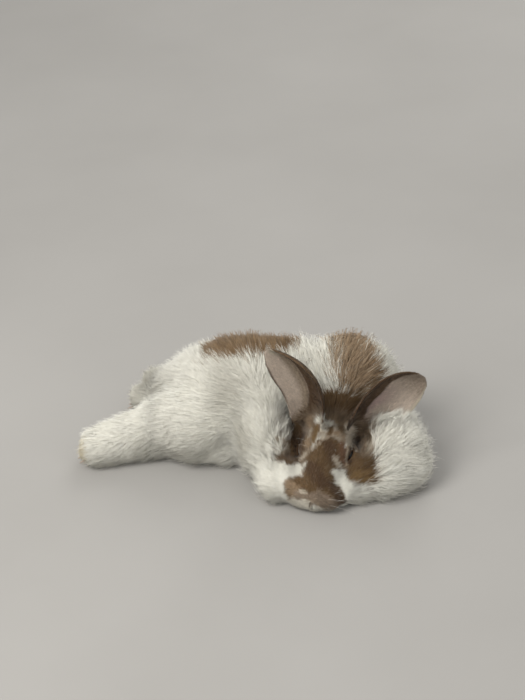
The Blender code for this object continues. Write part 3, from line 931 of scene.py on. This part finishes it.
def guide_curves(surface, rng):
    """Runs of the locks along the skin, for a length of one, with their roots."""
    tri, weight = surface.scatter(LOCKS, rng)
    root, values = surface.read(tri, weight)
    swirl = ragged(root, 0.022, 11.0) * 0.30 + rng.normal(0, 0.12, LOCKS)
    length = values[:, LENGTH, None]
    runs = [np.zeros_like(root)]
    here, now = root, values
    for low, high in zip(STATIONS, STATIONS[1:]):
        ahead = turned_about(unit(now[:, FLOW]), unit(now[:, UP]), swirl)
        here, now = surface.nearest(here + ahead * length * (high - low))
        runs.append((here - root) / length)
        swirl = swirl + rng.normal(0, 0.06, LOCKS)
    return np.stack(runs, 1), root


def tuft_lines(surface, rng):
    """Root places, centre lines (tuft, station, xyz) and values of all tufts."""
    runs, guide_root = guide_curves(surface, rng)
    tree = kd_tree(guide_root)
    tri, weight = surface.scatter(TUFTS, rng)
    root, values = surface.read(tri, weight)
    length = values[:, LENGTH, None]
    asked = root + rng.normal(0, 1, root.shape) * (0.05 * length)
    lock = np.array([tree.find(p)[1] for p in asked])
    up = unit(values[:, UP])
    depth = values[:, DEPTH]
    layer = rng.random(TUFTS)
    wisp = layer > 1 - WISPS
    least, spread, standing = LIFT
    lift = least + spread * layer + standing * wisp
    lift *= 1 + 0.28 * ragged(root, FLUFF, 17.0)
    run_length = length * (rng.uniform(*LENGTHS, TUFTS) + 0.15 * wisp)[:, None]
    stray = rng.normal(0, 1, (TUFTS, 3)) * (STRAY * length)
    offset = root - guide_root[lock]
    apart = np.maximum(norm(offset), 1e-9)[:, None]
    offset *= np.minimum(1, 0.35 * length / apart)
    lines = []
    for k, t in enumerate(STATIONS):
        gather = values[:, CLUMP, None] * t**1.3
        place = root - offset * gather + runs[lock, k] * run_length + stray * t**1.6
        height = lift * math.sin(math.pi / 2 * t) ** 0.8 if t else ROOTED
        lines.append(place + up * (depth * height)[:, None])
    return root, np.stack(lines, 1), values, lock, tri, weight


def add_mesh(name, verts, tris):
    mesh = bpy.data.meshes.new(name)
    mesh.vertices.add(len(verts))
    mesh.vertices.foreach_set("co", verts.astype(np.float32).ravel())
    mesh.loops.add(tris.size)
    mesh.loops.foreach_set("vertex_index", tris.astype(np.int32).ravel())
    mesh.polygons.add(len(tris))
    mesh.polygons.foreach_set("loop_start", np.arange(0, tris.size, 3, dtype=np.int32))
    mesh.update(calc_edges=True)
    mesh.shade_smooth()
    return mesh


def colour_layer(mesh, colours):
    layer = mesh.attributes.new("coat", "FLOAT_COLOR", "POINT")
    rgba = np.hstack([colours, np.ones((len(colours), 1))])
    layer.data.foreach_set("color", rgba.astype(np.float32).ravel())


def make_tufts(name, root_uv, lines, up, width, roll, base, tips):
    """One coat piece of flat tapering blades, each with the points of BLADE."""
    station, across = np.array(BLADE).T
    station = station.astype(int)
    tangent = unit(lines[:, -1] - lines[:, 0])
    side = turned_about(unit(np.cross(tangent, up)), tangent, roll)
    verts = lines[:, station] + side[:, None] * (across * width[:, None] / 2)[..., None]
    verts[..., 2] = np.maximum(verts[..., 2], FLOOR_CLEAR)
    along = np.array(STATIONS)[station, None]
    shade = base[:, None] + along * (tips - base)[:, None]
    tris = (np.arange(len(lines))[:, None, None] * len(BLADE) + BLADE_TRIANGLES).reshape(-1, 3)
    mesh = add_mesh(name, verts.reshape(-1, 3), tris)
    colour_layer(mesh, shade.reshape(-1, 3))
    uv = (root_uv[:, None] + PATCH * BLADE_UV).reshape(-1, 2)[tris.ravel()]
    layer = mesh.uv_layers.new(name="OFBake")
    layer.uv.foreach_set("vector", uv.astype(np.float32).ravel())
    normal = unit(up[:, None] + 0.30 * unit(verts - lines[:, :1])).reshape(-1, 3)
    mesh.normals_split_custom_set_from_vertices(normal.astype(np.float32))
    return add_object(name, mesh)


def make_coat(surface, kinds, material):
    rng = np.random.default_rng(20)
    root, lines, values, lock, tri, weight = tuft_lines(surface, rng)
    astray = rng.normal(0, STREAKS, (LOCKS, 3))[lock] * values[:, LENGTH, None]
    colours = markings(root + astray, values[:, EAR], values[:, EAR_PLACE])
    pale = ease(colours.mean(1), 0.25, 0.75)
    tone = rng.normal(0, TONE_SPREAD, LOCKS)[lock] + rng.normal(0, TONE_SPREAD, TUFTS)
    colours = np.clip(colours * (1 + tone * (1 - 0.72 * pale))[:, None], 0.01, 0.93)
    ticked = rng.random(TUFTS) < TICKED * (1 - pale)
    colours[ticked] += 0.35 * (np.array(TONES["sand"]) - colours[ticked])
    root_tone = DARK_ROOTS + pale[:, None] * (PALE_ROOTS - DARK_ROOTS)
    root_uv = (surface.uv[tri] * weight[..., None]).sum(1)
    up = unit(values[:, UP] + 0.06 * rng.normal(0, 1, (TUFTS, 3)))
    width = values[:, WIDTH] * rng.uniform(*WIDTHS, TUFTS)
    roll = rng.normal(0, ROLL, TUFTS)
    tufts = (root_uv, lines, up, width, roll, colours * root_tone, colours)
    owner = KINDS[kinds[surface.tris[tri, 0]]]
    for name, members in AREAS.items():
        chosen = np.flatnonzero(np.isin(owner, members))
        parts = max(1, math.ceil(len(chosen) / PIECE_TUFTS))
        for k, part in enumerate(np.array_split(chosen, parts)):
            piece = make_tufts(f"{name}_{k + 1}", *(column[part] for column in tufts))
            finish_piece(piece, material, "ear" if name == "coat_ears" else "fur")


# ---- materials
def set_node(tree, node, **settings):
    """Sets a node's properties and inputs, or feeds an input where the value is a socket."""
    for key, value in settings.items():
        name = key.replace("_", " ")
        if name not in node.inputs:
            setattr(node, key, value)
        elif isinstance(value, bpy.types.NodeSocket):
            tree.links.new(value, node.inputs[name])
        else:
            node.inputs[name].default_value = value
    return node


def add_node(tree, kind, **settings):
    return set_node(tree, tree.nodes.new("ShaderNode" + kind), **settings)


def noise_over(tree, scale, detail=4.0, **settings):
    """Noise over the object's own space."""
    place = add_node(tree, "TexCoord").outputs["Object"]
    grain = add_node(tree, "TexNoise", Vector=place, Scale=scale, Detail=detail, **settings)
    return grain.outputs["Fac"]


def ramped(tree, value, stops):
    """A colour by the value, between stops of a position and a colour each."""
    ramp = add_node(tree, "ValToRGB", Fac=value)
    elements = ramp.color_ramp.elements
    elements[0].position, elements[1].position = stops[0][0], stops[-1][0]
    for position, _ in stops[1:-1]:
        elements.new(position)
    for element, (_, colour) in zip(elements, stops):
        element.color = (*colour, 1)
    return ramp.outputs["Color"]


def finished(name, paint_nodes, relief=None, **inputs):
    """A Principled material; paint_nodes makes the colour, relief is a scale and a height."""
    made = bpy.data.materials.new(name)
    made.use_nodes = True
    tree = made.node_tree
    shader = tree.nodes["Principled BSDF"]
    set_node(tree, shader, Base_Color=paint_nodes(tree), **inputs)
    if relief:
        scale, height = relief
        grain = noise_over(tree, scale)
        rough = add_node(tree, "Bump", Strength=0.6, Distance=height, Height=grain)
        set_node(tree, shader, Normal=rough.outputs["Normal"])
    return made


def painted(scale, amount):
    """The mesh's colour layer "coat", made lighter and darker by up to amount."""

    def paint_nodes(tree):
        layer = add_node(tree, "Attribute", attribute_name="coat").outputs["Color"]
        grain = noise_over(tree, scale, 3.0, noise_dimensions="4D")
        ends = {"From_Min": 0.3, "From_Max": 0.7, "To_Min": 1 - amount, "To_Max": 1 + amount}
        span = add_node(tree, "MapRange", Value=grain, **ends).outputs["Result"]
        tone = add_node(tree, "VectorMath", operation="SCALE", Vector=layer, Scale=span)
        return tone.outputs["Vector"]

    return paint_nodes


def mottled(low, high, scale):
    """Noise between two colours."""
    return lambda tree: ramped(tree, noise_over(tree, scale), [(0.35, low), (0.65, high)])


SPOKE_LONG = 0.0012  # how far the iris's spokes shift its rings
IRIS = [  # from the white to the pupil: position and colour
    (0.0, (0.30, 0.24, 0.22)),
    (0.12, (0.010, 0.006, 0.005)),
    (0.3, (0.075, 0.030, 0.014)),
    (0.74, (0.050, 0.020, 0.010)),
    (0.80, (0.003, 0.003, 0.003)),
]


def iris(tree):
    """Brown iris with fine spokes round a black pupil, by the angle from the gaze (+X)."""
    spokes = noise_over(tree, 900.0, 3.0)
    place = add_node(tree, "TexCoord").outputs["Object"]
    split = add_node(tree, "SeparateXYZ", Vector=place)
    jitter = add_node(tree, "Math", operation="MULTIPLY_ADD")
    jitter.inputs[1].default_value = SPOKE_LONG
    tree.links.new(spokes, jitter.inputs[0])
    tree.links.new(split.outputs["X"], jitter.inputs[2])
    ends = {"From_Min": 0.40 * EYE_RADIUS, "From_Max": 1.10 * EYE_RADIUS}
    span = add_node(tree, "MapRange", Value=jitter.outputs["Value"], **ends)
    return ramped(tree, span.outputs["Result"], IRIS)


def finish_piece(piece, material, slot, *replaced):
    """Gives a piece its material and lets it ride on the one body, hiding the solids it replaces; slot
    is not used.
    """
    piece.data.materials.clear()
    piece.data.materials.append(material)
    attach(piece, "root")
    if replaced:
        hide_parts(*replaced)


# ---- eyes, whiskers, claws
CORNEA = (0.62, 0.95)  # it rises over these shares of the eyeball's radius
CORNEA_PROUD = 0.028
WHISKER_POINTS = 9
WHISKER_RADIUS = 0.00009
WHISKER_BEND = np.array([0, 0.1, -0.30])  # over a length of one
WHISKER_CLEAR = 0.0008  # no whisker reaches lower


def make_eyes(material):
    for side, node in EYES.items():
        bm = bmesh.new()
        bmesh.ops.create_uvsphere(bm, u_segments=64, v_segments=40, radius=EYE_RADIUS)
        bm.transform(Matrix.Rotation(math.pi / 2, 4, "Y"))
        for vert in bm.verts:
            vert.co *= 1 + CORNEA_PROUD * float(ease(vert.co.x / EYE_RADIUS, *CORNEA))
        name = node.replace("eye", "eyeball")
        mesh = made_mesh(bm, name)
        mesh.shade_smooth()
        eye = add_object(name, mesh)
        eye.matrix_world = eye_frame(side)
        finish_piece(eye, material, "eye", node)


def tube_parts(path, radii, sides, start):
    """Points and triangles of a tube along a path, closed at both ends."""
    tangent = unit(np.gradient(path, axis=0))
    side = unit(np.cross(tangent, [0.12, 0.35, 0.93]))
    other = np.cross(tangent, side)
    angle = (2 * math.pi * np.arange(sides) / sides)[:, None]
    ring = side[:, None] * np.cos(angle) + other[:, None] * np.sin(angle)
    verts = path[:, None] + radii[:, None, None] * ring
    here = start + sides * np.arange(len(path) - 1)[:, None]
    a, b = here + np.arange(sides), here + np.roll(np.arange(sides), -1)
    tris = np.stack([a, b, b + sides, a, b + sides, a + sides], -1).reshape(-1, 3).tolist()
    last = start + (len(path) - 1) * sides
    for j in range(1, sides - 1):
        tris += [(start, start + j + 1, start + j), (last, last + j, last + j + 1)]
    return verts.reshape(-1, 3).tolist(), tris


# where the whiskers and brow hairs of each side grow, in the face frame in millimetres: root
# and its step, lean and its step, length and its step, and how many
HAIR_ROWS = [
    ((15, 50, -15), (3, -5, 0), (0.8, -0.05, 0.15), (0.1, -0.3, 0), 26, 5, 3),
    ((15, 50, -20), (3, -5, 0), (0.8, -0.05, -0.10), (0.1, -0.3, 0), 26, 5, 3),
    ((15, 6, 12), (3, -8, 0), (0.3, 0.55, 0.60), (0, 0, 0), 12, 3, 2),
]


def whisker_roots():
    """Root, lean and length of each long hair, in the face frame."""
    for side in EYES:
        for root, step, lean, turn, length, longer, count in HAIR_ROWS:
            for k in range(count):
                place = (np.array(root) + k * np.array(step)) * (side, 1, 1) / 1000
                aim = (np.array(lean) + k * np.array(turn)) * (side, 1, 1)
                yield place, aim, (length + k * longer) / 1000


def make_whiskers(surface, material):
    """Long stiff hairs of the muzzle and brows."""
    rng = np.random.default_rng(4)
    verts, tris = [], []
    turned = np.array(FACE.to_3x3())
    for root, lean, length in whisker_roots():
        root, _ = surface.nearest([turned @ root + np.array(FACE.translation)])
        lean = unit(turned @ (lean + rng.normal(0, 0.12, 3)))
        length *= rng.uniform(0.85, 1.1)
        t = np.linspace(0, 1, WHISKER_POINTS)[:, None]
        path = root + lean * (length * t) + WHISKER_BEND * (length * t**2)
        path[:, 2] = np.maximum(path[:, 2], WHISKER_CLEAR)
        v, f = tube_parts(path, WHISKER_RADIUS * (1 - 0.75 * t[:, 0]), 5, len(verts))
        verts += v
        tris += f
    mesh = add_mesh("whiskers", np.array(verts), np.array(tris))
    finish_piece(add_object("whiskers", mesh), material, "fur")


def finish_claws(material):
    for name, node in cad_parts.items():
        if name.startswith("claw"):
            node.data.materials.clear()
            node.data.materials.append(material)


# ---- the skin, put together
EAR_FACING = {"ear_right": (-0.57, -0.80, -0.15), "ear_left": (0.22, -0.91, 0.0)}
EAR_BANDS = 26
FOLD_DEEP = 0.0009
FOLD_WIDE = 0.07  # in half widths of the ear


class Ear:
    """Finds where points lie on an ear: across it from -1 to 1, along it from 0 to 1."""

    def __init__(self, name, points):
        self.middle = points.mean(0)
        axes = np.linalg.svd(points - self.middle, full_matrices=False)[2]
        outward = self.middle - np.array(FACE.translation)
        self.along = axes[0] * np.sign(axes[0] @ outward)
        self.facing = axes[2] * np.sign(axes[2] @ np.array(EAR_FACING[name]))
        self.across = np.cross(self.along, self.facing)
        height, side = self.measured(points)
        self.steps = np.linspace(height.min(), height.max(), EAR_BANDS)
        reach = self.steps[1] - self.steps[0]
        bands = [side[np.abs(height - step) < reach] for step in self.steps]
        self.left = np.array([band.min() for band in bands])
        self.right = np.array([band.max() for band in bands])

    def measured(self, points):
        return (points - self.middle) @ self.along, (points - self.middle) @ self.across

    def places(self, points):
        height, side = self.measured(points)
        left, right = (np.interp(height, self.steps, edge) for edge in (self.left, self.right))
        across = (2 * side - left - right) / np.maximum(right - left, 0.002)
        return across, (height - self.steps[0]) / (self.steps[-1] - self.steps[0])


def ear_places(mesh, kinds):
    """Side of the cup (1 inside, -1 outside), across, along and which ear, at each vertex."""
    points, normal = coords(mesh), normals(mesh)
    out = np.zeros((len(points), 4))
    for name, which in (("ear_right", 1), ("ear_left", -1)):
        ear = Ear(name, points[kinds == SKIN_NODES.index(name)])
        near = norm(points - ear.middle) < 1.5 * ear.steps[-1]
        near &= (which > 0) == (points[:, 0] < FACE.translation.x + 0.012)
        across, along = ear.places(points[near])
        out[near] = np.stack([normal[near] @ ear.facing, across, along, 0 * along + which], 1)
    return out


def shape_ears(mesh, kinds):
    """Presses the line of each ear's fold into the inside of its cup."""
    side, across, along, which = ear_places(mesh, kinds).T
    inside = (KINDS == "ear")[kinds] * ease(side, 0.3, 0.7)
    inside *= ease(along, 0.05, 0.2) * (1 - ease(along, 0.85, 0.97))
    fold = np.zeros(len(kinds))
    for line, ear in ((RIGHT_FOLD, 1), (LEFT_FOLD, -1), (LEFT_FLAP, -1)):
        fold += bump(across - line_at(line, along), FOLD_WIDE) * (which == ear)
    raise_skin(mesh, -FOLD_DEEP * inside * fold)


def unwrap(skin):
    skin.data.uv_layers.new(name="OFBake")
    bpy.context.view_layer.objects.active = skin
    skin.select_set(True)
    bpy.ops.object.mode_set(mode="EDIT")
    bpy.ops.mesh.select_all(action="SELECT")
    bpy.ops.uv.smart_project(angle_limit=math.radians(66), island_margin=0.004)
    bpy.ops.object.mode_set(mode="OBJECT")
    skin.select_set(False)


def make_skin():
    skin = melted_skin()
    mesh = skin.data
    smoother = Smoother(mesh)
    kinds = node_of(coords(mesh))
    facts, ear = coat_facts(coords(mesh), kinds, smoother)
    push_in(mesh, facts, ear, smoother)
    shape_ears(mesh, kinds)
    thin = skin.modifiers.new("thin", "DECIMATE")
    thin.ratio = SKIN_TRIANGLES / (2 * len(mesh.polygons))
    apply_modifiers(skin)
    shape_toes(skin.data)
    shape_creases(skin.data)
    shape_face(skin.data, FORMS)
    for side in EYES:
        eye = eye_frame(side).translation
        refine(skin.data, eye, FINE_EYE)
        relax(skin.data, eye, FINE_EYE[0], 5)
    shape_lids(skin.data)
    cut_slits(skin)
    rim_lids(skin.data)
    tip = FACE @ NOSE_TIP
    refine(skin.data, tip, FINE_NOSE)
    relax(skin.data, tip, FINE_NOSE[1], 6)
    shape_face(skin.data, GROOVES)
    unwrap(skin)
    skin.data.shade_smooth()
    return skin


def comb_ears(mesh, kinds, flow, up):
    """Lays the hair of the ears from root to tip, also along their rims."""
    points = coords(mesh)
    for name in EAR_FACING:
        own = kinds == SKIN_NODES.index(name)
        ear = Ear(name, points[own])
        share = ease(ear.places(points[own])[1], 0.02, 0.16)[:, None]
        along = unit(ear.along + 0.25 * flow[own])
        mixed = flow[own] + share * (along - flow[own])
        mixed -= up[own] * (mixed * up[own]).sum(1, keepdims=True)
        flow[own] = unit(mixed)


def bare_lids(points, facts):
    """Shortens the hair towards each slit between the lids, and leaves their rims bare."""
    for side in EYES:
        far = slit_reach(points, side)
        facts[:, LENGTH] = np.minimum(facts[:, LENGTH], 0.0010 + 0.70 * far)
        facts[:, DENSITY] *= ease(far, LID_BARE, LID_BARE + 0.0005)


def lid_tone(points, colours):
    """Darkens the bare rims of the lids."""
    for side in EYES:
        far = slit_reach(points, side)
        share = 1 - ease(far, 2 * LID_BARE, 5 * LID_BARE)
        colours[:] = blend(colours, "dark", 0.95 * share)


def dress(skin):
    """Reads the finished skin's values, paints it and gives it its coat."""
    mesh = skin.data
    points = coords(mesh)
    smoother = Smoother(mesh)
    kinds = node_of(points)
    facts, ear = coat_facts(points, kinds, smoother)
    bare_lids(points, facts)
    under = ease(-normals(mesh)[:, 2], 0.5, 0.9) * (points[:, 2] < 0.006)
    facts[:, DENSITY] *= 1 - (1 - UNDERSIDE) * under
    ear_place = ear_places(mesh, kinds)
    flow, up = lie_of_coat(mesh, smoother)
    comb_ears(mesh, kinds, flow, up)
    # painted shade: the skin is darkened as the coat shades it
    colours = markings(points, ear, ear_place) * SKIN_SHADE
    lid_tone(points, colours)
    colour_layer(mesh, colours)
    surface = Surface(mesh, facts, ear, ear_place, flow, up)
    look = {"Roughness": 0.85, "Specular_IOR_Level": 0.15, "Sheen_Weight": 0.15}
    make_coat(surface, kinds, finished("coat_hair", painted(260.0, 0.05), **look))
    return surface


def main():
    skin = make_skin()
    surface = dress(skin)
    look = {"relief": (900.0, 0.0006), "Roughness": 0.85, "Specular_IOR_Level": 0.2}
    finish_piece(skin, finished("skin_fur", painted(500.0, 0.10), **look), "fur", *SKIN_NODES)
    make_eyes(finished("eye_wet", iris, Roughness=0.12, Specular_IOR_Level=0.20))
    pale = mottled((0.75, 0.70, 0.62), (0.85, 0.82, 0.76), 80.0)
    make_whiskers(surface, finished("whisker", pale, Roughness=0.4))
    horn = mottled((0.30, 0.22, 0.17), (0.50, 0.42, 0.36), 300.0)
    finish_claws(finished("claw_horn", horn, Roughness=0.45))


# ---- floor, light and camera
CAMERA_FROM_FACE = Vector((-0.0541, -1.4069, 1.0271))
CAMERA_DOWN = math.radians(32.7)
CAMERA_ROLL = math.radians(3.65)
LENS = 91.13  # mm, on a sensor 36 mm along the picture's long side
LIGHT_AIM = Vector((0, 0, 0.05))
LIGHTS = [  # name, place, size, energy and colour
    ("key", (-0.9, -0.7, 1.5), 0.9, 26.0, (1.0, 0.98, 0.94)),
    ("fill", (1.4, -1.2, 1.0), 1.4, 5.0, (0.98, 0.99, 1.0)),
    ("rim", (0.6, 1.5, 1.3), 1.2, 11.0, (1.0, 0.99, 0.96)),
]


def make_floor():
    bm = bmesh.new()
    bmesh.ops.create_grid(bm, x_segments=8, y_segments=8, size=3.0)
    floor = add_object("floor", made_mesh(bm, "floor"))
    look = mottled((0.36, 0.35, 0.335), (0.385, 0.375, 0.36), 3.0)
    floor.data.materials.append(finished("floor_pale", look, Roughness=0.8))


def make_light():
    world = bpy.data.worlds.new("studio")
    bpy.context.scene.world = world
    world.use_nodes = True
    tree = world.node_tree
    set_node(tree, tree.nodes["Background"], Color=(1.0, 0.985, 0.955, 1), Strength=0.52)
    for name, place, size, energy, colour in LIGHTS:
        light = bpy.data.lights.new(name, "AREA")
        light.size = size
        light.energy = energy
        light.color = colour
        obj = add_object(name, light)
        obj.location = place
        obj.rotation_euler = (LIGHT_AIM - Vector(place)).to_track_quat("-Z", "Y").to_euler()


def make_camera():
    camera = bpy.data.cameras.new("camera")
    camera.sensor_width = 36.0
    camera.lens = LENS
    camera.clip_start = 0.05
    obj = add_object("camera", camera)
    tilt = Matrix.Rotation(math.pi / 2 - CAMERA_DOWN, 4, "X")
    roll = Matrix.Rotation(-CAMERA_ROLL, 4, "Z")
    obj.matrix_world = Matrix.Translation(FACE.translation + CAMERA_FROM_FACE) @ tilt @ roll
    bpy.context.scene.camera = obj


make_camera()
main()
make_floor()
make_light()
bpy.context.scene.view_settings.view_transform = "Standard"
